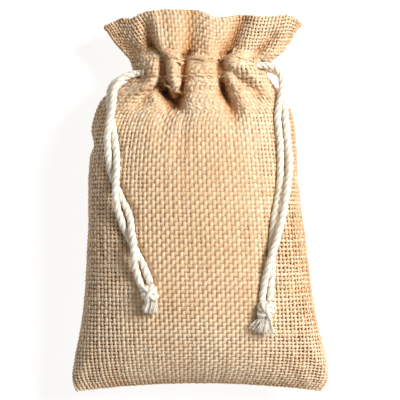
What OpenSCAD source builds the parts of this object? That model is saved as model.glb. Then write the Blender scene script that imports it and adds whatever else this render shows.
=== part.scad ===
// Drawstring gift pouch of open jute weave, lying on its back.
// Millimetres. +X is to the right, +Y runs from the base seam to the mouth and
// +Z points up from the surface, out of the front panel. The origin is on that
// surface, under the middle of the pouch.

/* [Pouch] */
// Width across the two base corners
base_w = 97; // [95:1:100]
// Length from the base seam to the top edge of the ruffle
pouch_l = 145; // [143:1:150]
// Height of the fullest part of the front panel above the surface
pouch_t = 40; // [38:1:42]
// Height of the side seams and of the middle of the neck
seam_z = 18; // [17:0.5:19]
// Thickness of one layer of jute cloth
cloth_t = 1; // [0.8:0.1:1.2]

/* [Neck] */
// Width of the gathered neck
neck_w = 48; // [46:1:50]
// Depth of the gathered neck
neck_t = 20; // [20:1:22]
// Length of the cord channel between its two stitch lines
channel_l = 7.7; // [7.5:0.1:8.5]
// Thickness of the channel's outer wall
channel_wall = 0.8; // [0.6:0.1:0.8]
// Half the width over which the channel has an inner facing
facing_half = 10.5; // [8:0.5:10.5]
// Thickness of the inner facing and of the closed channel edges
facing_t = 0.6; // [0.4:0.1:0.6]

/* [Ruffle] */
// Length of the ruffle above the channel
ruffle_l = 18.8; // [16:0.1:20]
// Width across the two ears of the ruffle
ruffle_w = 75; // [70:1:80]
// Thickness of the ruffle, which is the cloth folded double
ruffle_t = 1.6; // [1.2:0.1:2]
// Number of pleats across the ruffle
pleats = 6; // [4:1:8]
// Depth of a pleat at the top edge
pleat_t = 1.6; // [0.5:0.1:1.8]

/* [Cords] */
// Diameter of the cotton drawcords
cord_d = 2.8; // [2.4:0.1:2.8]
// Room round a cord in the channel
cord_gap = 0.3; // [0.2:0.05:0.4]
// Diameter of the overhand knots
knot_d = 6.4; // [5.6:0.1:7]
// Length of a knot along the cord
knot_l = 6; // [5:0.1:7]
// Length of a frayed cord end below its knot
fray_l = 5; // [3:0.5:6]

/* [Stitching] */
// Length of one running stitch
stitch_l = 2; // [1.6:0.1:2.2]
// Distance from one stitch to the next
stitch_pitch = 3; // [2.6:0.1:3.4]
// Diameter of the sewing thread
thread_d = 0.5; // [0.4:0.1:0.6]
// Width of the turned-in seam allowances
allowance_w = 5; // [4:0.5:6]

/* [Hidden] */

// Colours
jute = [0.78, 0.6, 0.4];
jute_light = [0.86, 0.7, 0.5];
thread_colour = [0.9, 0.82, 0.68];
cotton = [0.92, 0.9, 0.84];

// Clearances
edge_gap = 0.1;     // between cloth edges sewn together
sewing_gap = 0.15;  // between a panel and its turned-in allowance
wall_gap = 0.2;     // between a cord and the walls of the channel
window_gap = 0.6;   // above and below a cord in the window it comes out of
stitch_gap = 0.05;  // between a stitch and the channel
row_gap = 0.3;      // between the panel, the channel and the ruffle
side_gap = 0.4;     // between the front and back ruffle, which move apart
bend_gap = 1.6;     // between a cord's loop and its swinging tail

// Places along Y
y_base = -pouch_l / 2;
ruffle_y = pouch_l / 2 - ruffle_l;
channel_y = ruffle_y - row_gap - channel_l;
body_l = channel_y - row_gap - y_base;
left_cord_y = channel_y + facing_t + cord_gap + cord_d / 2;
right_cord_y = left_cord_y + cord_gap + cord_d;

// Shape of the neck: a round-ended slot, and the line that the cords follow in it
neck_r = neck_t / 2;
neck_straight = neck_w / 2 - neck_r;
cord_r = neck_r - channel_wall - wall_gap - cord_d / 2;
facing_z = cord_r - cord_d / 2 - wall_gap - facing_t;
exit_x = neck_w / 2;

// Side view and plan of the filled body, from the base seam to the neck: share of
// the length, of half the base width to the left and to the right, and of the rise
rise = pouch_t - seam_z;
outline = [
    [0, 0.97, 0.95, 0.05], [0.04, 1, 1, 0.36], [0.11, 0.985, 0.985, 0.64],
    [0.2, 0.94, 0.93, 0.84], [0.32, 0.905, 0.875, 0.96], [0.5, 0.89, 0.83, 1],
    [0.68, 0.885, 0.79, 0.98], [0.82, 0.87, 0.755, 0.88], [0.9, 0.83, 0.7, 0.74],
    [0.95, 0.73, 0.63, 0.62], [0.98, 0.6, 0.55, 0.53],
    [1, neck_w / base_w, neck_w / base_w, neck_r / rise]];
body_rings = 34;
body_steps = 28;
ruffle_rings = 6;
ruffle_steps = 60;
ear_drop = 6;       // how much shorter the ruffle is at its ears
least_rise = 0.15;  // what is left of the rise at the inner face of a seam
tube_sides = 8;

// The turned-in allowances: along the sides as shares of the body's length, and
// along the base as a share of its width, set back from its edge
allowance_half = 0.7;
side_from = 0.22;
side_share = 0.67;
side_rings = 16;
base_share = 0.82;
base_setback = 3;

// The drawcord tails, from the neck to the knot, laid over the front panel
left_a = [
    [-exit_x, left_cord_y, seam_z + cord_r],
    [-28, 47, 26], [-31, 44.5, 27], [-32.5, 40, 29], [-32.5, 35.5, 32],
    [-33.5, 30.5, 34.5], [-34.5, 25.5, 35], [-34.5, 20.5, 34.5], [-34, 15, 34], [-33, 10, 34],
    [-31, 5, 35], [-28.5, -0.5, 36.5], [-26, -5.5, 37.5], [-25.5, -10.5, 39.5], [-24.5, -16, 41.5],
    [-24.5, -21.5, 41.5], [-23.5, -27, 40], [-21.5, -32, 39]];
left_b = [
    [-exit_x, left_cord_y, seam_z - cord_r],
    [-28, 47.5, 12], [-31, 46, 15], [-33, 44, 19], [-34, 41.5, 23],
    [-34, 37.5, 27], [-33.5, 32.5, 30], [-32.5, 27, 32], [-31.5, 21, 33.5], [-31, 15, 35],
    [-31, 9, 37.5], [-31.5, 2.5, 39], [-30.5, -3.5, 38.5], [-28.5, -9.5, 37.5], [-26, -14.5, 37.5],
    [-23, -20, 38.5], [-20.5, -25, 39], [-18.5, -30.5, 39.5]];
right_a = [
    [exit_x, right_cord_y, seam_z + cord_r],
    [28, 50.5, 26], [30.5, 47.5, 26.5], [31, 43, 27.5], [30, 37.5, 29],
    [29, 32, 30], [29.5, 26.5, 31.5], [30, 20.5, 32], [30, 15, 33], [30, 9, 33.5],
    [29.5, 3.5, 34], [28.5, -2, 35], [27.5, -7.5, 36], [27, -13.5, 36.5], [26.5, -19, 36.5],
    [27, -25, 36.5], [26.5, -30.5, 36.5], [26, -37, 36.5]];
right_b = [
    [exit_x, right_cord_y, seam_z - cord_r],
    [27.5, 50, 12], [30.5, 48.5, 15.5], [32, 46, 19.5], [32.5, 42.5, 23.5],
    [32, 37.5, 26.5], [32, 32, 28.5], [32.5, 26.5, 30], [33, 20.5, 31.5], [33.5, 14.5, 33.5],
    [33, 8, 35], [32, 1.5, 36.5], [31, -4.5, 37.5], [29.5, -11, 39], [27.5, -17.5, 40],
    [25.5, -23.5, 40], [24, -30, 38.5], [23, -37, 38]];

// The knots and the frayed ends below them
left_knot_place = [-18.8, -34.3, 40.7];
left_knot_way = [0.3, -0.95, -0.05];
left_fray_place = left_knot_place + knot_l / 2 * unit(left_knot_way);
left_fray_way = [-0.1, -1, -0.15];
left_fray_side = [1.4, 0.1, 0];
right_knot_place = [24.4, -40.5, 38.6];
right_knot_way = [-0.15, -1, -0.1];
right_fray_place = right_knot_place + knot_l / 2 * unit(right_knot_way);
right_fray_way = [-0.9, -5, -0.6];
right_fray_side = [1.5, 0.1, 0];

// Stitch lines of the channel
lower_stitch_y = channel_y + thread_d;
upper_stitch_y = channel_y + channel_l - thread_d;

function unit(v) = v / norm(v);

// Value at s of the smooth curve through a list of points, s counting the points
function along(list, s) =
    let(last = len(list) - 1, i = min(floor(s), last - 1), f = s - i,
        a = list[max(i - 1, 0)], b = list[i], c = list[i + 1], d = list[min(i + 2, last)])
    b + f / 2 * (c - a + f * (2 * a - 5 * b + 4 * c - d + f * (3 * b - a - 3 * c + d)));

// Point of the body: side 1 is the front and -1 the back, s runs from the base to
// the neck and u from the left seam to the right one, t is the depth in the cloth
function body_point(side, s, u, t) =
    let(p = along(outline, s * (len(outline) - 1)),
        half = base_w / 2 * (u < 0.5 ? p[1] : p[2]) - t,
        high = max(rise * p[3] - t, least_rise),
        z = seam_z + side * (edge_gap / 2 + high * sin(180 * u)))
    [-half * cos(180 * u), y_base + max(p[0] * body_l, t), max(z, t)];

// Point of the ruffle, on the same terms, with s from the channel to the top edge
function ruffle_point(side, s, u, t) =
    let(half = neck_w / 2 + (ruffle_w - neck_w) / 2 * pow(s, 0.8) - t,
        wave = pleat_t * s * (1 - cos(360 * pleats * u)) / 2,
        high = (neck_r - side_gap / 2 - t) * sqrt(sin(180 * u)) - wave * sin(180 * u))
    [-half * cos(180 * u), ruffle_y + s * (ruffle_l - ear_drop * pow(cos(180 * u), 4)),
     seam_z + side * (side_gap / 2 + high)];

// Two triangles between four corners, turned over for the back
function quad(side, a, b, c, d) = side > 0 ? [[a, b, c], [a, c, d]] : [[c, b, a], [d, c, a]];

// Closed sheet from a grid of outer points followed by the same grid of inner points
module sheet(side, points, rings, steps) {
    wide = steps + 1;
    inner = (rings + 1) * wide;
    faces = [
        for (i = [0:rings - 1], j = [0:steps - 1]) let(k = i * wide + j)
            each concat(
                quad(side, k, k + wide, k + wide + 1, k + 1),
                quad(side, inner + k + 1, inner + k + wide + 1, inner + k + wide, inner + k)),
        for (j = [0:steps - 1]) let(k = rings * wide + j)
            each concat(
                quad(side, j, j + 1, inner + j + 1, inner + j),
                quad(side, k, inner + k, inner + k + 1, k + 1)),
        for (i = [0:rings - 1]) let(k = i * wide, m = k + steps)
            each concat(
                quad(side, k, inner + k, inner + k + wide, k + wide),
                quad(side, m, m + wide, inner + m + wide, inner + m))];
    polyhedron(points = points, faces = faces, convexity = 6);
}

// One side of the filled body
module panel(side) {
    points = [for (t = [0, cloth_t], i = [0:body_rings], j = [0:body_steps])
        body_point(side, i / body_rings, j / body_steps, t)];
    color(jute) sheet(side, points, body_rings, body_steps);
}

// One side of the ruffle
module ruffle(side) {
    points = [for (t = [0, ruffle_t], i = [0:ruffle_rings], j = [0:ruffle_steps])
        ruffle_point(side, i / ruffle_rings, j / ruffle_steps, t)];
    color(jute_light) sheet(side, points, ruffle_rings, ruffle_steps);
}

// Round-ended outline of the neck, to a distance r from the line through its middle
module neck_outline(r) {
    square([2 * neck_straight, 2 * r], center = true);
    for (x = [-neck_straight, neck_straight]) translate([x, 0]) circle(r, $fn = 64);
}

// Puts an outline drawn across the pouch at y, with that length along +Y
module across(y, length) {
    translate([0, y + length, seam_z]) rotate([90, 0, 0]) linear_extrude(length) children();
}

// One side of the cord channel: a wall round the neck, a facing inside it that is
// closed along both stitch lines, and a window where each cord comes out
module casing(side) {
    half = side > 0 ? 0 : -neck_w;
    outer = neck_r - channel_wall / 2;
    room_from = facing_z + facing_t;
    room_to = neck_r - channel_wall;
    color(jute) difference() {
        union() {
            across(channel_y, channel_l) intersection() {
                difference() {
                    neck_outline(neck_r);
                    neck_outline(neck_r - channel_wall);
                }
                translate([-neck_w, half + side * edge_gap / 2]) square([2 * neck_w, neck_w]);
            }
            slab(side, facing_half, channel_y, channel_l, facing_z, outer);
        }
        slab(side, neck_straight, channel_y + facing_t, channel_l - 2 * facing_t, room_from, room_to);
        for (exit = [-1, 1]) exit_window(exit, side);
    }
}

// Block across the pouch between two distances from the middle of the neck
module slab(side, half, y, length, from, to) {
    translate([-half, y, seam_z + (side > 0 ? from : -to)]) cube([2 * half, length, to - from]);
}

// Window for the cord that leaves on one side, -1 left and 1 right
module exit_window(exit, side) {
    room = cord_d + 2 * cord_gap;
    y = exit < 0 ? left_cord_y : right_cord_y;
    translate([exit * (neck_straight + neck_r / 2), y, seam_z + side * cord_r])
        cube([neck_r, room, room + 2 * window_gap], center = true);
}

// Row of running stitches on the outside of the channel
module stitches(side, y) {
    count = floor(facing_half * 2 / stitch_pitch);
    z = seam_z + side * (neck_r + thread_d / 2 + stitch_gap);
    color(thread_colour) for (i = [0:count])
        translate([(i - count / 2) * stitch_pitch - stitch_l / 2, y, z])
            rotate([0, 90, 0]) cylinder(d = thread_d, h = stitch_l, $fn = 16);
}

// Turned-in seam allowance along one side, -1 left and 1 right
module side_seam(exit) {
    corners = [
        [sewing_gap, -allowance_half], [sewing_gap, allowance_half],
        [allowance_w, allowance_half], [allowance_w, -allowance_half]];
    points = [for (i = [0:side_rings])
        let(s = side_from + side_share * i / side_rings, p = body_point(1, s, exit < 0 ? 0 : 1, cloth_t))
        each [for (c = corners) [p[0] - exit * c[0], p[1], seam_z + c[1]]]];
    last = 4 * side_rings;
    faces = [
        for (i = [0:side_rings - 1], j = [0:3]) let(a = 4 * i + j, b = 4 * i + (j + 1) % 4)
            each quad(-exit, a, b, b + 4, a + 4),
        each quad(-exit, 3, 2, 1, 0),
        each quad(-exit, last, last + 1, last + 2, last + 3)];
    color(jute_light) polyhedron(points = points, faces = faces);
}

// Turned-in seam allowance along the base
module base_seam() {
    color(jute_light) translate([-base_w * base_share / 2, y_base + base_setback, seam_z - allowance_half])
        cube([base_w * base_share, allowance_w, 2 * allowance_half]);
}

// Direction of a route at its point i
function heading(route, i) = unit(route[min(i + 1, len(route) - 1)] - route[max(i - 1, 0)]);

// Sideways direction at point i, carried along from the start without twist
function sideways(route, i) =
    let(d = heading(route, i), n = i == 0 ? [0.1, 0.2, 1] : sideways(route, i - 1))
    unit(n - (n * d) * d);

// Cord along a route, as one tube with a ring at each point
module tail(route) {
    count = len(route);
    last = (count - 1) * tube_sides;
    points = [for (i = [0:count - 1])
        let(d = heading(route, i), n = sideways(route, i), m = cross(d, n))
        each [for (k = [0:tube_sides - 1]) let(a = 360 * k / tube_sides)
            route[i] + cord_d / 2 * (n * cos(a) + m * sin(a))]];
    faces = [
        for (i = [0:count - 2], k = [0:tube_sides - 1])
            let(a = i * tube_sides + k, b = i * tube_sides + (k + 1) % tube_sides)
            each quad(-1, a, b, b + tube_sides, a + tube_sides),
        [for (k = [0:tube_sides - 1]) k],
        [for (k = [tube_sides - 1:-1:0]) last + k]];
    color(cotton) polyhedron(points = points, faces = faces);
}

// The part of a cord inside the channel: out from its exit along the front, round
// the far end of the neck and back along the back
module cord_loop(exit, y) {
    run = neck_straight + exit_x - bend_gap;
    color(cotton) translate([-exit * neck_straight, y, seam_z]) {
        for (z = [-cord_r, cord_r])
            translate([0, 0, z]) rotate([0, exit * 90, 0]) cylinder(d = cord_d, h = run, $fn = 32);
        rotate([90, 0, 0]) rotate([0, 0, exit > 0 ? 90 : -90])
            rotate_extrude(angle = 180, $fn = 64) translate([cord_r, 0]) circle(d = cord_d, $fn = 32);
    }
}

// Turns children so that their +Z points along a direction
module aim(place, direction) {
    d = unit(direction);
    translate(place) rotate([0, acos(d[2]), atan2(d[1], d[0])]) children();
}

// Overhand knot, as a rounded drum on the two strands
module knot(place, direction) {
    round_r = knot_l / 3;
    color(cotton) aim(place, direction) rotate_extrude($fn = 48) intersection() {
        drum_section(round_r);
        translate([0, -knot_l]) square([knot_d, 2 * knot_l]);
    }
}

// Half section of a drum with round edges
module drum_section(round_r) {
    flat = knot_l / 2 - round_r;
    for (z = [-flat, flat]) translate([knot_d / 2 - round_r, z]) circle(round_r, $fn = 32);
    translate([0, -flat]) square([knot_d / 2, 2 * flat]);
    translate([0, -knot_l / 2]) square([knot_d / 2 - round_r, knot_l]);
}

// Frayed end of one strand, which widens away from the knot
module frayed_end(place, direction) {
    color(cotton) aim(place, direction) cylinder(d1 = cord_d * 0.9, d2 = cord_d * 1.4, h = fray_l, $fn = 24);
}

module front_panel() panel(1);
module back_panel() panel(-1);
module front_casing() casing(1);
module back_casing() casing(-1);
module front_ruffle() ruffle(1);
module back_ruffle() ruffle(-1);
module left_side_seam() side_seam(-1);
module right_side_seam() side_seam(1);
module front_lower_stitches() stitches(1, lower_stitch_y);
module front_upper_stitches() stitches(1, upper_stitch_y);
module back_lower_stitches() stitches(-1, lower_stitch_y);
module back_upper_stitches() stitches(-1, upper_stitch_y);
module left_cord_loop() cord_loop(-1, left_cord_y);
module left_strand_a() tail(left_a);
module left_strand_b() tail(left_b);
module left_knot() knot(left_knot_place, left_knot_way);
module left_end_a() frayed_end(left_fray_place - left_fray_side, left_fray_way);
module left_end_b() frayed_end(left_fray_place + left_fray_side, left_fray_way);
module right_cord_loop() cord_loop(1, right_cord_y);
module right_strand_a() tail(right_a);
module right_strand_b() tail(right_b);
module right_knot() knot(right_knot_place, right_knot_way);
module right_end_a() frayed_end(right_fray_place - right_fray_side, right_fray_way - right_fray_side);
module right_end_b() frayed_end(right_fray_place + right_fray_side, right_fray_way + right_fray_side);

front_panel();
back_panel();
front_casing();
back_casing();
front_ruffle();
back_ruffle();
left_side_seam();
right_side_seam();
base_seam();
front_lower_stitches();
front_upper_stitches();
back_lower_stitches();
back_upper_stitches();
left_cord_loop();
left_strand_a();
left_strand_b();
left_knot();
left_end_a();
left_end_b();
right_cord_loop();
right_strand_a();
right_strand_b();
right_knot();
right_end_a();
right_end_b();
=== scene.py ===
"""Looks of the drawstring gift pouch: jute cloth woven yarn by yarn, and cotton drawcords.

Lengths are in millimetres in the part's own frame, and become metres when a mesh is made.
"""
import math
import bpy
import numpy as np
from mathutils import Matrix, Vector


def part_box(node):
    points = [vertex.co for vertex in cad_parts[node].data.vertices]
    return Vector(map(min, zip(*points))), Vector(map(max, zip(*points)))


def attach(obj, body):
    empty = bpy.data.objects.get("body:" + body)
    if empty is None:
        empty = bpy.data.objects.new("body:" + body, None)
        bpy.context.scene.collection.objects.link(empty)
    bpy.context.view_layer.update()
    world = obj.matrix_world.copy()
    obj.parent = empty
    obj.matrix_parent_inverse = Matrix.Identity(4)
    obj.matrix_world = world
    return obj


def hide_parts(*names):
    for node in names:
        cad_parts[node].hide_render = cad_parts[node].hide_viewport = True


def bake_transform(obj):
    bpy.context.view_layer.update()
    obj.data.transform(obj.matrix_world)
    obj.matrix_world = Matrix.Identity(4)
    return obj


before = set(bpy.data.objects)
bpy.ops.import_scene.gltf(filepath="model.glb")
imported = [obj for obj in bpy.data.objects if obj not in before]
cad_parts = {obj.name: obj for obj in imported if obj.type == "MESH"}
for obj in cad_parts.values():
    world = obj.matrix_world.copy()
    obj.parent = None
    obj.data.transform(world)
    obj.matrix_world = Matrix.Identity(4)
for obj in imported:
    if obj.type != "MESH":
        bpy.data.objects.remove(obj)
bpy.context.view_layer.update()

MM = 0.001
rng = np.random.default_rng(12)


# ---------------------------------------------------------------- places from the frame

def box_mm(node):
    """Lowest and highest corner of a CAD node."""
    return [np.array(corner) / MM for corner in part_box(node)]


panel_low, panel_high = box_mm("front_panel")
back_high = box_mm("back_panel")[1]
casing_low, casing_high = box_mm("front_casing")
ruffle_low, ruffle_high = box_mm("front_ruffle")
seam_z = (panel_low[2] + back_high[2]) / 2
y_base = panel_low[1]
body_l = panel_high[1] - panel_low[1]
base_half = panel_high[0]
rise = panel_high[2] - seam_z
neck_half = casing_high[0]
channel_y = casing_low[1]
ruffle_y = ruffle_low[1]
top_y = ruffle_high[1]


# ---------------------------------------------------------------- curves

def catmull(points, steps):
    """Smooth curve through points, with that many steps between two of them."""
    p = np.asarray(points, float)
    ends = np.concatenate([p[:1], p, p[-1:]])
    a, b, c, d = ends[:-3], ends[1:-2], ends[2:-1], ends[3:]
    f = (np.arange(steps) / steps)[None, :, None]
    a, b, c, d = (q[:, None] for q in (a, b, c, d))
    curve = b + f / 2 * (c - a + f * (2 * a - 5 * b + 4 * c - d + f * (3 * b - a - 3 * c + d)))
    return np.concatenate([curve.reshape(-1, p.shape[1]), p[-1:]])


def lengths(path):
    """Distance along a path to each of its points."""
    return np.concatenate([[0], np.cumsum(np.linalg.norm(np.diff(path, axis=0), axis=1))])


def at(path, where):
    """Points of a path at distances along it."""
    s = lengths(path)
    return np.stack([np.interp(where, s, path[:, k]) for k in range(path.shape[1])], 1)


def even(path, count):
    """The path again, with evenly spaced points."""
    return at(path, np.linspace(0, lengths(path)[-1], count))


def relaxed(path, rounds):
    """The path with its bends eased and its two ends kept."""
    path = path.copy()
    for _ in range(rounds):
        path[1:-1] = (path[:-2] + 2 * path[1:-1] + path[2:]) / 4
    return path


def unit(v):
    """Vectors of length 1 in the directions of the given ones."""
    return v / np.maximum(np.linalg.norm(v, axis=-1, keepdims=True), 1e-9)


def carried_frame(path, first=(0.1, 0.2, 1.0)):
    """Tangents of a path and a sideways direction carried along it without twist."""
    tangent = unit(np.gradient(path, axis=0))
    side = np.zeros_like(path)
    n = np.array(first, float)
    for i, t in enumerate(tangent):
        n = unit(n - n.dot(t) * t)
        side[i] = n
    return tangent, side


# ---------------------------------------------------------------- meshes

def tubes(centres, up, wide, high, sides, phase=0.0):
    """Closed tubes. centres and up are (tubes, rings, 3), wide and high half sizes (tubes, rings)."""
    count, rings = centres.shape[:2]
    tangent = unit(np.gradient(centres, axis=1))
    across = unit(np.cross(tangent, up))
    up = unit(np.cross(across, tangent))
    angle = 2 * np.pi * np.arange(sides) / sides + phase
    cos, sin = np.cos(angle)[:, None], np.sin(angle)[:, None]
    verts = (centres[:, :, None] + wide[:, :, None, None] * cos * across[:, :, None]
             + high[:, :, None, None] * sin * up[:, :, None])
    index = np.arange(count * rings * sides).reshape(count, rings, sides)
    turn = np.roll(index, -1, axis=2)
    quads = np.stack([index[:, :-1], turn[:, :-1], turn[:, 1:], index[:, 1:]], -1).reshape(-1, 4)
    caps = np.concatenate([index[:, 0, ::-1], index[:, -1]])
    return verts.reshape(-1, 3), quads.tolist() + caps.tolist()


def add_piece(name, verts, faces, material, tone=None):
    """Makes a smooth mesh object from millimetre points, with a tone for each point."""
    mesh = bpy.data.meshes.new(name)
    mesh.from_pydata((np.asarray(verts) * MM).tolist(), [], faces)
    mesh.polygons.foreach_set("use_smooth", np.ones(len(faces), bool))
    if tone is not None:
        values = mesh.attributes.new("tone", "FLOAT", "POINT").data
        values.foreach_set("value", np.asarray(tone, np.float32).ravel())
    mesh.materials.append(material)
    piece = bpy.data.objects.new(name, mesh)
    bpy.context.scene.collection.objects.link(piece)
    return piece


def joined(parts):
    """One list of points and one of faces from several."""
    verts, faces, start = [], [], 0
    for v, f in parts:
        verts.append(v)
        faces += [[i + start for i in face] for face in f]
        start += len(v)
    return np.concatenate(verts), faces


# ---------------------------------------------------------------- materials

def new_material(name, roughness, sheen):
    """Material with one Principled shader, its constants set on the shader."""
    material = bpy.data.materials.new(name)
    material.use_nodes = True
    shader = material.node_tree.nodes["Principled BSDF"]
    shader.inputs["Roughness"].default_value = roughness
    shader.inputs["Sheen Weight"].default_value = sheen
    shader.inputs["Sheen Roughness"].default_value = 0.5
    shader.inputs["Specular IOR Level"].default_value = 0.2
    return material, material.node_tree, shader


def noise(tree, scale, detail, stretch=(1, 1, 1)):
    """Noise in the object's own coordinates."""
    place = tree.nodes.new("ShaderNodeTexCoord")
    mapping = tree.nodes.new("ShaderNodeMapping")
    mapping.inputs["Scale"].default_value = stretch
    texture = tree.nodes.new("ShaderNodeTexNoise")
    texture.inputs["Scale"].default_value = scale
    texture.inputs["Detail"].default_value = detail
    tree.links.new(place.outputs["Object"], mapping.inputs["Vector"])
    tree.links.new(mapping.outputs["Vector"], texture.inputs["Vector"])
    return texture.outputs["Fac"]


def ramp(tree, value, stops):
    """Colour ramp over a value, from (position, colour) stops."""
    node = tree.nodes.new("ShaderNodeValToRGB")
    elements = node.color_ramp.elements
    while len(elements) < len(stops):
        elements.new(0.5)
    for element, (position, colour) in zip(elements, stops):
        element.position = position
        element.color = (*colour, 1)
    tree.links.new(value, node.inputs["Fac"])
    return node.outputs["Color"]


def mixed(tree, kind, amount, a, b):
    """Mix of two colours. amount is a number or an output."""
    node = tree.nodes.new("ShaderNodeMix")
    node.data_type = "RGBA"
    node.blend_type = kind
    if isinstance(amount, float):
        node.inputs["Factor"].default_value = amount
    else:
        tree.links.new(amount, node.inputs["Factor"])
    tree.links.new(a, node.inputs["A"])
    tree.links.new(b, node.inputs["B"])
    return node.outputs["Result"]


def bumped(tree, shader, height, strength, distance):
    """Bump on the shader from a height."""
    bump = tree.nodes.new("ShaderNodeBump")
    bump.inputs["Strength"].default_value = strength
    bump.inputs["Distance"].default_value = distance
    tree.links.new(height, bump.inputs["Height"])
    tree.links.new(bump.outputs["Normal"], shader.inputs["Normal"])


def fabric_material(name, stops, blotch, roughness, sheen, fibre, soft=0.0):
    """Yarn colour from the tone of each point, which holds painted light and shade too, with blotches,
    flecks and fibre bump.
    """
    material, tree, shader = new_material(name, roughness, sheen)
    tone = tree.nodes.new("ShaderNodeAttribute")
    tone.attribute_name = "tone"
    colour = ramp(tree, tone.outputs["Fac"], stops)
    wide = ramp(tree, noise(tree, 45, 3), [(0.3, blotch), (0.7, (1, 1, 1))])
    flecks = ramp(tree, noise(tree, 1500, 4), [(0.3, blotch), (0.62, (1, 1, 1))])
    colour = mixed(tree, "MULTIPLY", 0.7, colour, wide)
    colour = mixed(tree, "MULTIPLY", 0.8, colour, flecks)
    tree.links.new(colour, shader.inputs["Base Color"])
    bumped(tree, shader, noise(tree, fibre, 3), 0.5, 0.0002)
    shader.inputs["Subsurface Weight"].default_value = soft
    shader.inputs["Subsurface Radius"].default_value = (1.0, 0.9, 0.75)
    shader.inputs["Subsurface Scale"].default_value = 0.0015
    return material


def make_materials():
    """Every material of the pouch, by name."""
    return {
        "jute": fabric_material(
            "jute", [(0.0, (0.3, 0.13, 0.045)), (0.35, (0.57, 0.3, 0.12)), (0.62, (0.72, 0.485, 0.28)),
                     (1.0, (0.88, 0.74, 0.56))], (0.87, 0.78, 0.68), 0.85, 0.2, 2600),
        "thread": fabric_material(
            "thread", [(0.0, (0.45, 0.29, 0.15)), (1.0, (0.82, 0.66, 0.44))],
            (0.9, 0.85, 0.8), 0.7, 0.2, 3000),
        "cotton": fabric_material(
            "cotton", [(0.0, (0.75, 0.65, 0.51)), (0.5, (0.88, 0.81, 0.69)), (1.0, (0.94, 0.89, 0.8))],
            (0.95, 0.92, 0.86), 0.85, 0.3, 3500, 0.5),
    }


def floor_material():
    """Plain pale floor that glows a little, so that it shows as white."""
    material, tree, shader = new_material("floor", 0.9, 0.0)
    shader.inputs["Base Color"].default_value = (0.3, 0.3, 0.3, 1)
    shader.inputs["Emission Color"].default_value = (1, 1, 1, 1)
    shader.inputs["Emission Strength"].default_value = 0.85
    return material


# ---------------------------------------------------------------- camera, floor and light

VIEW_W = 152        # width that the camera sees at the level of the seams
CAMERA_HEIGHT = 900
CAMERA_Y = 0.3
SENSOR = 36
KEY_PLACE = (0.64, 0.3, 0.7)    # metres
KEY_SIZE = 0.4
KEY_ENERGY = 14.2
SURROUND = 0.28


def add_camera():
    """Camera straight above the pouch, as it lies on its back."""
    data = bpy.data.cameras.new("camera")
    data.sensor_width = SENSOR
    data.lens = SENSOR * (CAMERA_HEIGHT - seam_z) / VIEW_W
    camera = bpy.data.objects.new("camera", data)
    camera.location = (0, CAMERA_Y * MM, CAMERA_HEIGHT * MM)
    bpy.context.scene.collection.objects.link(camera)
    bpy.context.scene.camera = camera


def add_light(name, place, size, energy, colour):
    """Square soft light that points at the pouch."""
    data = bpy.data.lights.new(name, "AREA")
    data.size = size
    data.energy = energy
    data.color = colour
    light = bpy.data.objects.new(name, data)
    light.location = place
    aim = -light.location
    light.rotation_euler = aim.to_track_quat("-Z", "Y").to_euler()
    bpy.context.scene.collection.objects.link(light)


def set_colours():
    """Plain display of colours, so that the pale floor shows as white."""
    bpy.context.scene.view_settings.view_transform = "Standard"


def add_studio():
    """Pale floor, one soft key light from the upper right and a weak, warm surround."""
    half = 2.5
    corners = [(-half, -half, 0), (half, -half, 0), (half, half, 0), (-half, half, 0)]
    mesh = bpy.data.meshes.new("floor")
    mesh.from_pydata(corners, [], [(0, 1, 2, 3)])
    mesh.materials.append(floor_material())
    floor = bpy.data.objects.new("floor", mesh)
    bpy.context.scene.collection.objects.link(floor)
    add_light("key", KEY_PLACE, KEY_SIZE, KEY_ENERGY, (1.0, 0.985, 0.96))
    world = bpy.data.worlds.new("surround")
    world.use_nodes = True
    world.node_tree.nodes["Background"].inputs["Color"].default_value = (1, 0.95, 0.88, 1)
    world.node_tree.nodes["Background"].inputs["Strength"].default_value = SURROUND
    bpy.context.scene.world = world


# ---------------------------------------------------------------- drawcords

CORD_D = 2.8
PLIES = 3
PLY_R = 0.88        # radius of one ply
PLY_OUT = 0.52      # from the middle of the cord to the middle of a ply
LAY = 9.0           # length of one turn of the twist
RING = 0.45         # from one ring of a ply to the next
RIDGES = 4          # yarns that show round a ply
RIDGE_LAY = 0.45    # length of one turn of those yarns, as a share of the twist's

# Where the tails leave the neck: heights of the two cords, and levels of the two strands of each
left_y = 48.0
right_y = 51.1
front_z = 25.6
behind_z = 10.4

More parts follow.
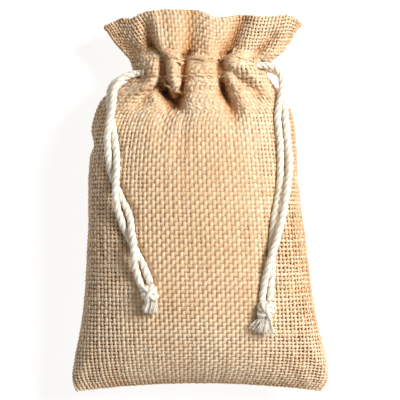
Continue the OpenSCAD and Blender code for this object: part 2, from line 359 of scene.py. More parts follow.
# The tails from the neck to the knot, as the CAD model lays them
ROUTES = {
    "left_strand_a": [
        [-neck_half, left_y, front_z], [-28, 47, 26], [-31, 44.5, 27], [-32.5, 40, 29], [-32.5, 35.5, 32],
        [-33.5, 30.5, 34.5], [-34.5, 25.5, 35], [-34.5, 20.5, 34.5], [-34, 15, 34], [-33, 10, 34],
        [-31, 5, 35], [-28.5, -0.5, 36.5], [-26, -5.5, 37.5], [-25.5, -10.5, 39.5], [-24.5, -16, 41.5],
        [-24.5, -21.5, 41.5], [-23.5, -27, 40], [-21.5, -32, 39]],
    "left_strand_b": [
        [-neck_half, left_y, behind_z], [-28, 47.5, 12], [-31, 46, 15], [-33, 44, 19], [-34, 41.5, 23],
        [-34, 37.5, 27], [-33.5, 32.5, 30], [-32.5, 27, 32], [-31.5, 21, 33.5], [-31, 15, 35],
        [-31, 9, 37.5], [-31.5, 2.5, 39], [-30.5, -3.5, 38.5], [-28.5, -9.5, 37.5], [-26, -14.5, 37.5],
        [-23, -20, 38.5], [-20.5, -25, 39], [-18.5, -30.5, 39.5]],
    "right_strand_a": [
        [neck_half, right_y, front_z], [28, 50.5, 26], [30.5, 47.5, 26.5], [31, 43, 27.5], [30, 37.5, 29],
        [29, 32, 30], [29.5, 26.5, 31.5], [30, 20.5, 32], [30, 15, 33], [30, 9, 33.5],
        [29.5, 3.5, 34], [28.5, -2, 35], [27.5, -7.5, 36], [27, -13.5, 36.5], [26.5, -19, 36.5],
        [27, -25, 36.5], [26.5, -30.5, 36.5], [26, -37, 36.5]],
    "right_strand_b": [
        [neck_half, right_y, behind_z], [27.5, 50, 12], [30.5, 48.5, 15.5], [32, 46, 19.5],
        [32.5, 42.5, 23.5], [32, 37.5, 26.5], [32, 32, 28.5], [32.5, 26.5, 30], [33, 20.5, 31.5],
        [33.5, 14.5, 33.5], [33, 8, 35], [32, 1.5, 36.5], [31, -4.5, 37.5], [29.5, -11, 39],
        [27.5, -17.5, 40], [25.5, -23.5, 40], [24, -30, 38.5], [23, -37, 38]],
}
# Middle of each knot, the way its cords run through it and the way its ends fall
KNOTS = {
    "left": ([-18.8, -34.3, 40.7], [0.3, -0.95, -0.05], [-0.1, -1, -0.15]),
    "right": ([24.4, -40.5, 38.6], [-0.15, -1, -0.1], [-0.25, -1, -0.12]),
}
KNOT_R = 2.0        # radius of the wraps of a knot, to the middle of the cord
KNOT_BULGE = 0.35   # how much more it is in the middle of the knot
KNOT_TURNS = 1.9
KNOT_LENGTH = 4.2
# Frayed ends of each knot: how far they fan out, yarns in each half, length
TUFTS = {"left": (-0.3, 60, 4.9), "right": (0.75, 64, 6.0)}


def strand_path(points):
    """Evenly spaced path of a strand through its route, with eased bends."""
    spacing = 0.6
    path = catmull(points, 12)
    path = even(path, int(lengths(path)[-1] / spacing) + 1)
    return even(relaxed(path, 20), int(lengths(path)[-1] / RING) + 1)


def twisted_cord(path, size=1.0, turn=0.0):
    """Plies twisted round a path, each with the ridges of its own yarns. Returns tones too, with painted
    shade in the grooves and painted highlight on the ridges.
    """
    tangent, side = carried_frame(path)
    over = np.cross(tangent, side)
    s = lengths(path)
    sides = 3 * RIDGES
    index = np.arange(sides)
    parts, tones = [], []
    for ply in range(PLIES):
        angle = 2 * np.pi * (s / LAY + ply / PLIES) + turn
        out = np.cos(angle)[:, None] * side + np.sin(angle)[:, None] * over
        swell = 1 + 0.06 * np.sin(s * 1.7 + 2.1 * ply + turn) + 0.04 * np.sin(s * 4.3 + ply)
        centre = path + out * PLY_OUT * size
        radius = PLY_R * size * swell
        verts, faces = tubes(centre[None], out[None], radius[None], radius[None], sides)
        ring = verts.reshape(len(path), sides, 3)
        ridge = np.cos(RIDGES * 2 * np.pi * index / sides - 2 * np.pi * s[:, None] / (LAY * RIDGE_LAY))
        ring = centre[:, None] + (ring - centre[:, None]) * (1 + 0.07 * ridge[..., None])
        # Painted shade: deeper towards the middle of the cord, in the grooves between plies; painted
        # highlight: paler on the ridges of the yarns
        away = np.linalg.norm(ring - path[:, None], axis=2) / (CORD_D / 2 * size)
        tones.append(np.clip(0.15 + 0.75 * (away - 0.45) / 0.55 + 0.12 * ridge, 0, 1).ravel())
        parts.append((ring.reshape(-1, 3), faces))
    return *joined(parts), np.concatenate(tones)


def cord_pieces(material):
    """The four strands of the two tails."""
    strands = {}
    for name, route in ROUTES.items():
        path = strand_path(route)
        verts, faces, tone = twisted_cord(path, turn=len(strands) * 1.3)
        strands[name] = (add_piece(name + "_cord", verts, faces, material, tone), path)
    return strands


def knot_piece(side, material):
    """Overhand knot drawn tight: two wraps round the strands and one turn that crosses them."""
    place, way, _ = KNOTS[side]
    way = unit(np.array(way, float))
    right = unit(np.cross(way, [0, 0, 1.0]))
    up = np.cross(right, way)
    t = np.linspace(0, 1, 90)
    mirror = 1 if side == "left" else -1
    turns = 2 * np.pi * KNOT_TURNS * t - 0.6
    radius = KNOT_R + KNOT_BULGE * np.sin(np.pi * t)
    along_way = KNOT_LENGTH / 2 - KNOT_LENGTH * t + 0.9 * np.sin(2 * turns)
    wrap = (np.array(place) + mirror * np.outer(radius * np.cos(turns), right)
            + np.outer(radius * np.sin(turns) * 0.92, up) - np.outer(along_way, way))
    turn_over = ((-1.7, 0.3, -2.6), (-1.2, 1.7, -1.4), (0.2, 2.5, 0), (1.3, 1.7, 1.5), (1.4, 0.2, 2.7))
    cross_points = [np.array(place) + a * right * mirror + b * up + c * way for a, b, c in turn_over]
    crossing = even(catmull(cross_points, 12), 30)
    core = even(catmull([np.array(place) + c * way for c in (-3, -1, 1, 3)], 8), 20)
    parts, tones = [], []
    for path, size, turn in ((wrap, 0.78, 0.4), (crossing, 0.8, 1.1), (core, 0.95, 2.0)):
        verts, faces, tone = twisted_cord(path, size, turn)
        parts.append((verts, faces))
        tones.append(tone)
    verts, faces = joined(parts)
    return add_piece(side + "_knot_cord", verts, faces, material, np.concatenate(tones))


def tuft_piece(side, half, count, spread, length, material):
    """Half of a frayed end: fine cotton yarns that leave the knot together and fan out."""
    place, way, fall = KNOTS[side]
    fall = unit(np.array(fall, float))
    right = unit(np.cross(fall, [0, 0, 1.0]))
    up = np.cross(right, fall)
    start = np.array(place) + 2.4 * unit(np.array(way, float)) + half * 0.9 * right
    rings = 9
    t = np.linspace(0, 1, rings)
    paths, widths = [], []
    for _ in range(count):
        a, b = rng.normal(0, 1, 2)
        reach = length * rng.uniform(0.72, 1.08)
        curl = rng.normal(0, 0.7, 2)
        sideways = half * (0.5 + 0.3 * spread) + a * (0.75 + spread)
        path = (start + np.outer(t * reach, fall)
                + np.outer(a * 0.55 * (1 - t) + (sideways + curl[0]) * t ** 1.4, right)
                + np.outer(b * 0.55 + (b * 0.35 + 0.3 * curl[1]) * t ** 1.4, up))
        paths.append(path)
        widths.append(rng.uniform(0.16, 0.27) * (1 - 0.45 * t ** 3))
    centres = np.array(paths)
    widths = np.array(widths)
    ups = np.broadcast_to(up, centres.shape)
    verts, faces = tubes(centres, ups, widths, widths, 5)
    tone = np.repeat(rng.uniform(0.45, 1.0, (count, 1)) * np.ones((1, rings)), 5)
    return add_piece(f"{side}_tuft_{'a' if half < 0 else 'b'}", verts, faces, material, tone)


def loop_piece(side, material):
    """The part of a cord inside the channel, along its CAD solid and out to where its tail begins."""
    low, high = box_mm(side + "_cord_loop")
    way = -1 if side == "left" else 1
    y = (low[1] + high[1]) / 2
    middle = (low[2] + high[2]) / 2
    radius = (high[2] - low[2] - CORD_D) / 2
    start = way * neck_half
    far = high[0] if way < 0 else low[0]
    turn_x = far + way * (radius + CORD_D / 2)
    angle = np.linspace(0, np.pi, 40)
    arc_x = turn_x - way * radius * np.sin(angle)
    arc = np.stack([arc_x, np.full(len(angle), y), middle + radius * np.cos(angle)], 1)
    path = np.concatenate([[[start, y, middle + radius]], arc, [[start, y, middle - radius]]])
    path = even(path, int(lengths(path)[-1] / RING))
    verts, faces, tone = twisted_cord(path)
    return add_piece(side + "_loop_cord", verts, faces, material, tone)


def add_cords(material):
    """Both drawcords, each with a loop in the channel and a tail of two strands. Returns the paths."""
    strands = cord_pieces(material)
    for side, (spread, count, length) in TUFTS.items():
        loop = loop_piece(side, material)
        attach(loop, side + "_cord")
        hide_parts(side + "_cord_loop")
        knot = knot_piece(side, material)
        ends = [tuft_piece(side, half, count, spread, length, material) for half in (-1, 1)]
        for piece, part in ((knot, "knot"), (ends[0], "end_a"), (ends[1], "end_b")):
            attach(piece, side + "_tail")
            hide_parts(f"{side}_{part}")
        for letter in "ab":
            name = f"{side}_strand_{letter}"
            cord, path = strands[name]
            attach(cord, side + "_tail")
            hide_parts(name)
    return [path for _, path in strands.values()]


# ---------------------------------------------------------------- cloth surface

COLUMNS = 64        # warp yarns on each side
PITCH = 1.57        # from one weft yarn to the next
PITCH_ACROSS = 1.62     # from one warp yarn to the next, on the flat cloth
FULLNESS = 0.75     # how square a cross-section is: 1 is an ellipse, less is fuller
GATHER = 14         # length below the channel over which the body turns into the neck
BASE_BOW = 3.4      # how far the filling draws up the middle of the base
BASE_SHARE = 0.3    # share of the body that this reaches up to
TOUCH_FADE = 6      # height over the seams within which the touches fade out
SEAM_GAP = 0.25     # from the seams to the cloth on either side
LOWEST = 0.8        # from the floor to the middle of the cloth

# Filled body from the base seam to the neck: share of its length, of half the base
# width to the left and to the right, and of the rise
BODY = [
    [0, .97, .95, .012], [.04, 1, 1, .36], [.11, .985, .99, .64], [.2, .955, .945, .84],
    [.32, .935, .9, .96], [.5, .93, .86, 1], [.68, .92, .805, .98], [.82, .885, .765, .87],
    [.9, .82, .715, .72], [.95, .73, .64, .6]]
# Neck and ruffle: y, half width to the left and to the right, rise
NECK = [
    [channel_y - 1.5, 26.5, 26, 12.2], [channel_y + 3, 24, 23.5, 12], [ruffle_y, 25.4, 26.3, 11.4],
    [ruffle_y + 4, 29.3, 31.5, 10.5], [ruffle_y + 10, 33.5, 35.5, 9.5], [top_y, 37.3, 39.2, 8.5]]
# Top edge of the ruffle in plan
TOP_EDGE = [
    [-38, 64], [-36, 65.5], [-33, 67.6], [-29.5, 69.4], [-26, 68.9], [-19.5, 71.8], [-13, 72.4], [0, 71.9],
    [6.5, 69], [11.5, 69.3], [17.5, 69.8], [25, 69.3], [33.5, 69.9], [36.5, 68.4], [40.5, 64.5]]
# Folds of the gathered neck from the left seam to the right one: x, height over the seams
NECK_FOLDS = [
    [-24, 0], [-25.4, 2.8], [-24.6, 6], [-22.4, 8.8], [-19.8, 11], [-17.4, 13], [-15.6, 12.6],
    [-14.2, 7.2], [-13.2, 11.5], [-11.6, 15], [-9.6, 15.4], [-7.7, 13.4], [-6.6, 8.6], [-5.2, 12],
    [-3, 13.7], [0, 14], [3.8, 13.7], [6.2, 12], [7.4, 8], [8.8, 12], [10.6, 13.9], [13, 13.4],
    [15.5, 12.8], [18, 12.4], [20.5, 11.2], [22.6, 9], [24, 6.4], [24.8, 3.4], [24, 0]]
# How far down each fold reaches: share of the way round the front, y
REACH = [
    [0, 30], [0.16, 27], [0.29, 34], [0.36, 34], [0.44, 27], [0.52, 18], [0.6, 26], [0.7, 22], [0.85, 24],
    [1, 30]]
# Touches in plan: from, to, half width at both, height over the cloth at both
TOUCHES = [
    [(-19.5, 51), (-18.5, 42), 4.0, 4.5, 1.2, 1.5],
    [(-14.2, 54), (-13, 42), 1.6, 2.0, -3.5, -6.0],
    [(-12.8, 41), (-9.8, 37), 2.6, 3.0, -12.0, -9.0],
    [(-10.6, 52), (-9.2, 42), 2.4, 2.2, 1.5, 4.0],
    [(-6.5, 54), (-6.6, 40.5), 1.5, 1.7, -2.2, -3.5],
    [(-20, 35), (-14, 31), 4.0, 4.0, -1.2, -1.6],
    [(-5, 60), (-5.5, 55.5), 2.6, 2.2, -0.8, -2.0],
    [(-17.6, 71.5), (-13.8, 55), 2.2, 1.9, 1.6, 3.6],
    [(-32, 68), (-25.5, 56), 7.5, 6.0, -5.0, -6.0],
    [(-20.5, 67), (-17.6, 56), 2.4, 2.4, -2.0, -6.0],
    [(8, 54), (16.5, 68), 1.9, 2.8, -3.2, -2.4],
    [(4, 70), (3, 57), 3.0, 2.6, 1.0, 1.2],
    [(21, 69), (13, 56), 2.8, 2.2, 1.6, 1.8],
    [(27, 62), (19, 52.5), 2.8, 2.0, -2.4, -4.6],
    [(34, 67), (25, 55), 2.8, 2.6, 1.4, 1.8],
    [(7.4, 51), (8.6, 42), 1.7, 2.6, -2.2, -2.6],
    [(9.6, 53), (22, 47), 2.2, 2.8, 1.6, 2.4],
    [(9.8, 49.4), (21.5, 40.5), 1.6, 2.2, -2.6, -3.2],
    [(10.5, 46), (17.5, 35), 2.0, 3.2, 1.6, 0.8],
    [(8.8, 44), (12.8, 33), 1.7, 2.8, -2.6, -1.0],
]


def section(left, right, high, fullness, count):
    """Cross-section from the left seam over the top to the right one, as x and height."""
    angle = np.linspace(0, np.pi, count)
    half = np.where(angle < np.pi / 2, left, right)
    return even(np.stack([-half * np.cos(angle), high * np.sin(angle) ** fullness], 1), count)


def touch_height(x, y):
    """Height of the touches over places in plan."""
    total = np.zeros_like(x)
    for start, end, width, far_width, height, far_height in TOUCHES:
        a, b = np.array(start, float), np.array(end, float)
        d = b - a
        t = np.clip(((x - a[0]) * d[0] + (y - a[1]) * d[1]) / d.dot(d), 0, 1)
        gap = np.hypot(x - a[0] - t * d[0], y - a[1] - t * d[1])
        size = width + t * (far_width - width)
        total += (height + t * (far_height - height)) * np.exp(-(gap / size) ** 2)
    return total


def meridian():
    """Rows of y, half widths and rise, evenly spaced along the middle of the cloth."""
    body = [[y_base + p[0] * body_l, base_half * p[1], base_half * p[2], rise * p[3]] for p in BODY]
    dense = catmull(body + NECK, 24)
    s = lengths(dense[:, [0, 3]])
    rows = int(round(s[-1] / PITCH))
    where = np.linspace(0, s[-1], rows + 1)
    return np.stack([np.interp(where, s, dense[:, k]) for k in range(4)], 1)


def eased(t):
    """Share from 0 to 1 with a soft start and a soft end."""
    t = np.clip(t, 0, 1)
    return t * t * (3 - 2 * t)


def cloth_grid(side, rows):
    """Points of one side of the cloth, (rows, columns + 1, 3): side 1 is the front, -1 the back."""
    dense = 481
    share = np.linspace(0, 1, dense)
    neck = NECK[1]
    smooth = section(neck[1], neck[2], neck[3], FULLNESS, dense)
    folds = even(catmull(NECK_FOLDS, 12), dense) - smooth
    reach = np.interp(share, *np.array(REACH).T)
    if side < 0:
        folds = folds[::-1] * (-1, 1)
        reach = reach[::-1]
    edge_x, edge_y = np.array(TOP_EDGE).T
    grid = []
    for y, left, right, high in rows:
        into_neck = eased((y - channel_y + GATHER) / GATHER)
        curve = section(left, right, high, 1 - (1 - FULLNESS) * into_neck, dense)
        up = np.clip((y - ruffle_y) / (top_y - ruffle_y), 0, 1)
        amount = eased((y - reach) / (channel_y - reach)) * (1 - 0.5 * eased(up * 4) - 0.3 * up)
        curve = curve + folds * amount[:, None]
        x = curve[:, 0]
        line = y + up * (np.interp(x, edge_x, edge_y) - top_y)
        down = np.clip(1 - (y - y_base) / (BASE_SHARE * body_l), 0, 1)
        line = line + BASE_BOW * down ** 2 * (1 - (x / base_half) ** 2)
        height = curve[:, 1]
        if side > 0:
            height = height + touch_height(x, line) * np.minimum(height / TOUCH_FADE, 1)
        else:
            height = np.minimum(height, seam_z - LOWEST)
        points = np.stack([x, line, seam_z + side * np.maximum(height, SEAM_GAP)], 1)
        grid.append(even(points, COLUMNS + 1))
    return np.array(grid)


# ---------------------------------------------------------------- cloth simulation

SIM_SCALE = 10      # the simulation runs at ten times the size, in metres
SIM_FRAMES = 16
SIM_CAP = 5.0       # how far a point may move
SIM_HELD = 0.65     # share of the movement that is not kept near the neck
SIM_FREE_Y = 22     # up to where all of it is kept
SIM_FADE = 16       # length over which it then falls


def flat_pattern(rows, around):
    """The sewn cloth laid flat, as a ring of two layers."""
    width = COLUMNS * PITCH_ACROSS
    k = np.arange(around)
    x = np.where(k <= COLUMNS, k, around - k) * PITCH_ACROSS - width / 2
    lift = np.where(k <= COLUMNS, 0.2, -0.2) * np.minimum(np.minimum(k, around - k), 1)
    grid = np.zeros((rows, around, 3))
    grid[..., 0] = x
    grid[..., 1] = np.arange(rows)[:, None] * PITCH
    grid[..., 2] = lift
    return grid


def add_cloth_settings(cloth_object, pinned):
    """Cloth modifier of a loose, soft weave that is blown up from inside."""
    group = cloth_object.vertex_groups.new(name="pinned")
    group.add(pinned, 1.0, "REPLACE")
    cloth = cloth_object.modifiers.new("cloth", "CLOTH")
    settings = cloth.settings
    settings.quality = 6
    settings.mass = 0.3
    settings.tension_stiffness = 25
    settings.compression_stiffness = 12
    settings.shear_stiffness = 4
    settings.bending_stiffness = 1.2
    settings.tension_damping = 12
    settings.compression_damping = 12
    settings.shear_damping = 8
    settings.bending_damping = 2
    settings.air_damping = 3
    settings.vertex_group_mass = "pinned"
    settings.use_pressure = True
    settings.uniform_pressure_force = 4
    settings.rest_shape_key = cloth_object.data.shape_keys.key_blocks["flat"]
    settings.effector_weights.gravity = 0
    cloth.collision_settings.use_collision = False
    cloth.point_cache.frame_start = 1
    cloth.point_cache.frame_end = SIM_FRAMES


def simulated(front, back, held_rows):
    """Both sides of the cloth after the simulation, held along the base and the channel."""
    rows = len(front)
    ring = np.concatenate([front, back[:, -2:0:-1]], 1)
    around = ring.shape[1]
    index = np.arange(rows * around).reshape(rows, around)
    turn = np.roll(index, -1, axis=1)
    faces = np.stack([index[:-1], turn[:-1], turn[1:], index[1:]], -1).reshape(-1, 4)
    scale = MM * SIM_SCALE
    mesh = bpy.data.meshes.new("sim")
    mesh.from_pydata((ring.reshape(-1, 3) * scale).tolist(), [], faces.tolist())
    body = bpy.data.objects.new("sim", mesh)
    bpy.context.scene.collection.objects.link(body)
    body.shape_key_add(name="Basis")
    flat = body.shape_key_add(name="flat")
    flat.data.foreach_set("co", (flat_pattern(rows, around) * scale).ravel())
    flat.value = 0
    add_cloth_settings(body, index[held_rows].ravel().tolist())
    scene = bpy.context.scene
    for number in range(1, SIM_FRAMES + 1):
        scene.frame_set(number)
    shape = body.evaluated_get(bpy.context.evaluated_depsgraph_get()).data
    result = np.zeros(ring.size)
    shape.vertices.foreach_get("co", result)
    scene.frame_set(1)
    bpy.data.objects.remove(body)
    move = result.reshape(ring.shape) / scale - ring
    size = np.linalg.norm(move, axis=2, keepdims=True)
    free = 1 - SIM_HELD * eased((ring[:, :1, 1:2] - SIM_FREE_Y) / SIM_FADE)
    move *= free * np.minimum(1, SIM_CAP / np.maximum(size, 1e-6))
    ring = ring + move
    ring[..., 2] = np.maximum(ring[..., 2], LOWEST)
    return ring[:, :COLUMNS + 1], np.concatenate([ring[:, :1], ring[:, :COLUMNS - 1:-1]], 1)


CLEAR = 0.9         # from the cords in the channel to the middle of the cloth over them
CLEAR_HALF = 18.5   # half the width of the neck that is kept clear in full
CLEAR_ROWS = 2      # rows next to the channel that rise with it


def over_cords(grid, side, first, last):
    """One side of the cloth kept clear of the cords in its channel, however deep its folds are."""
    grid = grid.copy()
    cord_top = (front_z - behind_z) / 2 + CORD_D / 2
    for row in range(first - CLEAR_ROWS, last + CLEAR_ROWS + 1):
        outside = max(first - row, row - last, 0)
        x, height = grid[row, :, 0], side * (grid[row, :, 2] - seam_z)
        least = cord_top + CLEAR - 3 * np.maximum(np.abs(x) - CLEAR_HALF, 0) - 1.6 * outside
        grid[row, :, 2] = seam_z + side * np.maximum(height, least)
    return grid


PRESS_R = 2.1       # from the middle of a cord to the middle of the cloth under it
PRESS_SLIDES = (0, 2, 4)    # how far out the cord is laid for its groove


def pressed(front, paths):
    """The front cloth with the grooves that the cords lie in, as wide as the cords slide."""
    front = front.copy()
    for path in paths:
        way = math.copysign(1, path[0, 0])
        for slide in PRESS_SLIDES:
            points = path[::4] + (way * slide, 0, 0)
            gap = np.linalg.norm(front[:, :, None, :2] - points[None, None, :, :2], axis=3)
            level = points[:, 2][gap.argmin(2)]
            away = gap.min(2)
            under = np.sqrt(np.maximum(PRESS_R ** 2 - away ** 2, 0))
            limit = level - under + 1.3 * np.maximum(away - PRESS_R, 0)
            reached = (away < PRESS_R + 3) & (level > seam_z + 6)
            lowered = np.minimum(front[..., 2], np.maximum(limit, seam_z))
            front[..., 2] = np.where(reached, lowered, front[..., 2])
    return front


# ---------------------------------------------------------------- weave

STEPS = 4           # rings of a yarn from one crossing to the next
YARN_HIGH = 0.3     # half thickness of a yarn
CRIMP = 0.27        # how far a yarn goes over and under
LOOSE = 0.57        # share of the cloth that its yarns cover along the sides
CLOSE = 0.97        # and over the full middle
CALM = 0.72         # share of its relief and streaks that the close weave loses
FULL_BODY = (27, -12, 60)   # close part of the body: half width, middle and half length
FULL_RUFFLE = (-2, 17)      # close part of the ruffle: middle and half width
CORNER_WIDE = 1.3   # corners of a yarn's square section, in half widths
CORNER_MORE = 0.17  # added to it in the closest weave
CORNER_HIGH = 1.2   # corners of the section, in half thicknesses
THIN_GAP = 1.3      # yarns that lie closer than this get thinner

# Tones of the yarns, from 0 (deep) to 1 (pale), with painted light and shade in them
MIDDLE_TONE = 0.59
WEAVE_TONE = 0.05   # warp paler and weft deeper by this
WAVE_SHADE = 0.24    # painted light and shade: paler where a yarn comes to the top, deeper where it passes under
FOOT_SHADE = 0.35     # painted shade, from the foot of a yarn (deep) to its top (pale)
HOLLOW_SHADE = 0.16  # painted shade, deeper for each millimetre below the cloth around
# Painted shade along the flanks, deepest down the right one
LEFT_FLANK_SHADE = 0.04
RIGHT_FLANK_SHADE = 0.24
EAR_SHADE = 0.12     # painted shade at the left ear of the ruffle and the roll under it
BASE_PAINTED_LIGHT = 0.1     # painted light, paler towards the base


def refined(grid, steps):
    """Smooth curves through the rows of a grid along its first axis."""
    flat = grid.reshape(grid.shape[0], -1)
    return catmull(flat, steps).reshape(-1, *grid.shape[1:])


def slubs(yarns, rings, every, spread):
    """Smooth random thickening along each yarn, around 1."""
    knots = max(int(rings / every), 2) + 1
    values = rng.normal(0, spread, (yarns, knots))
    place = np.linspace(0, knots - 1, rings)
    i = np.minimum(place.astype(int), knots - 2)
    f = place - i
    f = f * f * (3 - 2 * f)
    return 1 + values[:, i] * (1 - f) + values[:, i + 1] * f


def closeness(points):
    """Share of the cloth that its yarns cover: most over the full middle and behind, least at the sides."""
    x, y = points[..., 0], points[..., 1]
    half, mid_y, half_l = FULL_BODY
    mid_x, ruffle_half = FULL_RUFFLE
    middle = np.exp(-(x / half) ** 4 - ((y - mid_y) / half_l) ** 4)
    ruffle = np.exp(-((x - mid_x) / ruffle_half) ** 4) * (y > channel_y)
    behind = points[..., 2] < seam_z - 1
    return LOOSE + (CLOSE - LOOSE) * np.maximum(np.maximum(middle, ruffle), behind)


def hollows(grid, across):
    """How deep each point of a grid lies below the cloth around it, fading out at the side seams."""
    reach = 7
    fade = 10
    level = grid[..., 2]
    for axis in (0, 1):
        count = level.shape[axis]
        near = [np.clip(np.arange(count) + k, 0, count - 1) for k in range(-reach, reach + 1)]
        level = np.mean([np.take(level, places, axis=axis) for places in near], axis=0)
    columns = np.arange(grid.shape[across])
    inside = eased(np.minimum(columns, columns[::-1]) / fade)
    depth = (level - grid[..., 2]) * np.sign(grid[..., 2] - seam_z)
    return depth * (inside[None] if across else inside[:, None])


# Side of the neck and height of the holes that the cords leave by
EXITS = [(-1, left_y), (1, right_y)]
HOLE_R = 2.1
HOLE_X = (18, 27)   # from the middle of the pouch, where the cords pass between the yarns


def parted(points):
    """Points of the yarns pushed aside round the cords, where those pass between them."""
    points = points.copy()
    for way, y in EXITS:
        for z in (front_z, behind_z):
            off = points[..., 1:] - (y, z)
            gap = np.linalg.norm(off, axis=-1, keepdims=True)
            moved = (y, z) + off * np.maximum(1, HOLE_R / np.maximum(gap, 0.05))
            here = (way * points[..., :1] > HOLE_X[0]) & (way * points[..., :1] < HOLE_X[1])
            points[..., 1:] = np.where(here, moved, points[..., 1:])
    return points


def tone_with_painted_light(points):
    """Tone of the cloth by place: painted shade along the flanks and at the left ear, painted light towards
    the base.
    """
    x, y = points[..., 0], points[..., 1]
    low_end = eased((-35 - y) / 25)
    flank_shade = eased((np.abs(x) - 27) / 12) * np.where(x > 0, RIGHT_FLANK_SHADE, LEFT_FLANK_SHADE)
    # Painted shade at the left ear and the roll under it
    ear = EAR_SHADE * eased((-14 - x) / 8) * eased((y - 36) / 8)
    return MIDDLE_TONE - flank_shade * (1 - 0.7 * low_end) - ear + BASE_PAINTED_LIGHT * low_end


def yarns(grid, turned, first):
    """Yarns along the first axis of a grid. turned is -1 for weft, first the parity of the first one."""
    centre = refined((grid[:, :-1] + grid[:, 1:]) / 2, STEPS).transpose(1, 0, 2)
    gap = refined(np.linalg.norm(grid[:, 1:] - grid[:, :-1], axis=2)[..., None], STEPS)[..., 0].T
    across = refined(grid[:, 1:] - grid[:, :-1], STEPS).transpose(1, 0, 2)
    normal = unit(np.cross(across, np.gradient(centre, axis=1))) * turned
    depth = hollows(grid, 1 if turned > 0 else 0)
    depth = refined((depth[:, :-1] + depth[:, 1:])[..., None] / 2, STEPS)[..., 0].T
    count, rings = centre.shape[:2]
    phase = np.pi * np.arange(rings) / STEPS
    sign = (-1.0) ** (np.arange(count) + first)[:, None]
    wave = np.sin(phase)[None] * sign * turned
    cover = closeness(centre)
    calm = CALM * (cover - LOOSE) / (CLOSE - LOOSE)
    level = CRIMP * wave * (1 - calm)
    wobble = 0.05 * gap * (slubs(count, rings, 9, 1.0) - 1)
    thick = slubs(count, rings, 10, 0.13) * rng.normal(1, 0.09, (count, 1))
    wide = 0.5 * gap * np.clip(cover * thick, 0.4, 0.98)
    high = YARN_HIGH * np.clip(thick, 0.75, 1.25) * np.clip(gap / THIN_GAP, 0.6, 1) * (1 - 0.4 * calm)
    centre = parted(centre + normal * level[..., None] + unit(across) * wobble[..., None])
    corner_wide = (CORNER_WIDE + CORNER_MORE * calm) * wide
    verts, faces = tubes(centre, normal, corner_wide, CORNER_HIGH * high, 4, np.pi / 4)
    streak = 0.1 * (slubs(count, rings, 14, 1.0) - 1) + rng.normal(0, 0.07, (count, 1))
    height = np.array([0.5, 0.5, -0.5, -0.5])
    # Painted light and shade: each yarn paler where it is on top and deeper where it passes under
    tone = tone_with_painted_light(centre) + WEAVE_TONE * turned + (WAVE_SHADE * wave + streak) * (1 - calm)
    # Painted shade in the hollows of the folds
    tone -= HOLLOW_SHADE * np.clip(depth, -0.4, 4)
    # Painted shade: the lower corners of each yarn deeper, the upper ones paler
    tone = tone[..., None] + height * FOOT_SHADE * (1 - calm[..., None])
    return verts, faces, np.clip(tone, 0, 1).ravel()


def outward(grid):
    """Direction out of the cloth at each point of a grid."""
    return unit(np.cross(np.gradient(grid, axis=1), np.gradient(grid, axis=0)))


def weave_pieces(name, sheets, first, material):
    """Warp and weft pieces of one or more sheets of cloth."""
    pieces = []
    for word, turned in (("warp", 1), ("weft", -1)):
        parts, tones = [], []
        for grid in sheets:
            verts, faces, tone = yarns(grid if turned > 0 else grid.transpose(1, 0, 2), turned, first)
            parts.append((verts, faces))
            tones.append(tone)
        verts, faces = parts[0] if len(parts) == 1 else joined(parts)
        pieces.append(add_piece(f"{name}_{word}", verts, faces, material, np.concatenate(tones)))
    return pieces


HEM_GAP = 1.4       # between the two layers of the ruffle
HEM_FOOT = 5        # and at the channel
HEM_EDGE = 0.6      # from the last row of the ruffle to its fold
FACING_HALF = 10.5  # half the width of the inner facing of the channel
FACING_Z = 5.5      # from the seams to the facing
FACING_SEWN = 4     # how much further out its two edges are, where they are sewn
FACING_COLUMNS = 14


def doubled(sheet):
    """The ruffle folded over along its top edge, with its inner layer going down to the channel."""
    normal = outward(sheet)
    up = np.linspace(0, 1, len(sheet))[:, None, None]
    inset = HEM_GAP + (HEM_FOOT - HEM_GAP) * (1 - eased(up * 1.6))
    inner = sheet - normal * inset
    edge = sheet[-1] + HEM_EDGE * unit(sheet[-1] - sheet[-2]) - normal[-1] * HEM_GAP / 2
    return np.concatenate([sheet, edge[None], inner[::-1]])


def facing(sheet, side):
    """Inner layer of the channel, inside the cords and sewn to the outer one along both edges."""
    grid = np.zeros((len(sheet), FACING_COLUMNS + 1, 3))
    grid[..., 0] = side * np.linspace(-FACING_HALF, FACING_HALF, FACING_COLUMNS + 1)
    grid[..., 1] = sheet[:, :, 1].mean(1)[:, None]
    grid[..., 2] = seam_z + side * FACING_Z
    grid[[0, -1], :, 2] = seam_z + side * (FACING_Z + FACING_SEWN)
    return grid


def allowance_piece(name, edge, inward, material):
    """Turned-in edges of both cloths along a seam, as two narrow strips inside the pouch."""
    inset = np.array([0.8, 2.3, 3.8, 5.3])
    lift = 0.55
    parts, tones = [], []
    for side in (1, -1):
        strip = edge[:, None] + inset[None, :, None] * np.array(inward, float)
        strip[..., 2] = seam_z + side * lift
        for turned in (1, -1):
            verts, faces, tone = yarns(strip if turned > 0 else strip.transpose(1, 0, 2), turned, 0)
            parts.append((verts, faces))
            tones.append(tone)
    verts, faces = joined(parts)
    return add_piece(name + "_allowance", verts, faces, material, np.concatenate(tones))


THREAD_R = 0.26
STITCH = 1.25       # length of a stitch, in warp yarns
STITCH_END = 10     # from the side seam to the first stitch, in warp yarns
STITCH_FOOT = 0.1   # from the cloth to the thread's ends
STITCH_RISE = 0.72  # how much further out the thread is in the middle of a stitch


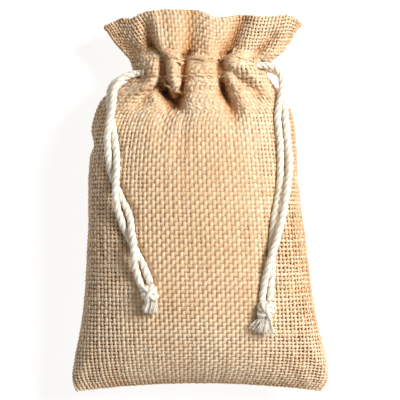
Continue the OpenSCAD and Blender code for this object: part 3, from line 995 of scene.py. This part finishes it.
def stitch_piece(name, grid, row, material):
    """Running stitches along a row of the cloth, each over a warp yarn, between the cord openings."""
    normal = outward(grid)
    a = int(row)
    line = grid[a] + (row - a) * (grid[a + 1] - grid[a])
    out = normal[a]
    columns = np.arange(len(line))
    rings = 9
    t = np.linspace(0, 1, rings)
    paths = []
    for column in range(STITCH_END, COLUMNS - STITCH_END + 1, 2):
        place = column - STITCH / 2 + STITCH * t
        path = np.stack([np.interp(place, columns, line[:, k]) for k in range(3)], 1)
        lift = np.stack([np.interp(place, columns, out[:, k]) for k in range(3)], 1)
        paths.append(path + lift * (STITCH_FOOT + STITCH_RISE * np.sin(np.pi * t) ** 0.5)[:, None])
    centres = np.array(paths)
    size = np.full(centres.shape[:2], THREAD_R)
    ups = np.broadcast_to(np.array([0.1, 0.99, 0.0]), centres.shape)
    verts, faces = tubes(centres, ups, size, size, 6)
    tone = rng.uniform(0.3, 1, (len(paths), 1, 1)) * np.ones((1, rings, 6))
    return add_piece(name + "_thread", verts, faces, material, tone)


def settle(piece, slot, *nodes):
    """A piece of the pouch's own body, and the CAD nodes it stands for, which are hidden. slot, its finish,
    is not used.
    """
    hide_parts(*nodes)
    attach(piece, "pouch")


def layers(part, sheet, side):
    """Sheets that a part is made of: the channel has a facing, and the ruffle is folded double."""
    if part == "casing":
        return [sheet, facing(sheet, side)]
    if part == "ruffle":
        return [doubled(sheet)]
    return [sheet]


def add_side(word, side, grid, cuts, jute):
    """Panel, casing and ruffle of one side of the pouch."""
    made = {}
    for part, (a, b) in cuts.items():
        made[part] = weave_pieces(f"{word}_{part}", layers(part, grid[a:b + 1], side), a, jute)
        for piece in made[part]:
            if word == "front" and part == "ruffle":
                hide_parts("front_ruffle")
                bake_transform(piece)
            else:
                settle(piece, "jute", f"{word}_{part}")
    return made


SEAM_SHARE = (0.22, 0.86)   # where the side seams' turned-in edges start and end, up to the channel


def add_cloth(materials, cord_paths):
    """Both sides of the pouch, the allowances of its seams and the stitches of its channel."""
    rows = meridian()
    at_channel = int(np.argmin(np.abs(rows[:, 0] - channel_y)))
    at_ruffle = int(np.argmin(np.abs(rows[:, 0] - ruffle_y)))
    at_top = len(rows) - 1
    cuts = {"panel": (0, at_channel), "casing": (at_channel, at_ruffle), "ruffle": (at_ruffle, at_top)}
    front = cloth_grid(1, rows)
    back = cloth_grid(-1, rows)
    front, back = simulated(front, back, [0, *range(at_channel + 1, at_ruffle)])
    front = over_cords(pressed(front, cord_paths), 1, at_channel, at_ruffle)
    back = over_cords(back, -1, at_channel, at_ruffle)
    jute = materials["jute"]
    grids = {"front": front, "back": back[:, ::-1]}
    ways = {"front": 1, "back": -1}
    sides = {word: add_side(word, ways[word], grid, cuts, jute) for word, grid in grids.items()}
    low, high = (int(share * at_channel) for share in SEAM_SHARE)
    seams = []
    for name, column, inward in (("left_side_seam", 0, (1, 0, 0)), ("right_side_seam", -1, (-1, 0, 0))):
        seams.append(allowance_piece(name, front[low:high, column], inward, jute))
        settle(seams[-1], "jute", name)
    seams.append(allowance_piece("base_seam", front[0, 6:-6], (0, 1, 0), jute))
    settle(seams[-1], "jute", "base_seam")
    for word, grid in grids.items():
        threads = []
        for level, row in (("lower", at_channel + 0.5), ("upper", at_ruffle - 0.5)):
            name = f"{word}_{level}_stitches"
            threads.append(stitch_piece(name, grid, row, materials["thread"]))
            settle(threads[-1], "thread", name)


materials = make_materials()
add_camera()
set_colours()
cord_paths = add_cords(materials["cotton"])
add_studio()
add_cloth(materials, cord_paths)
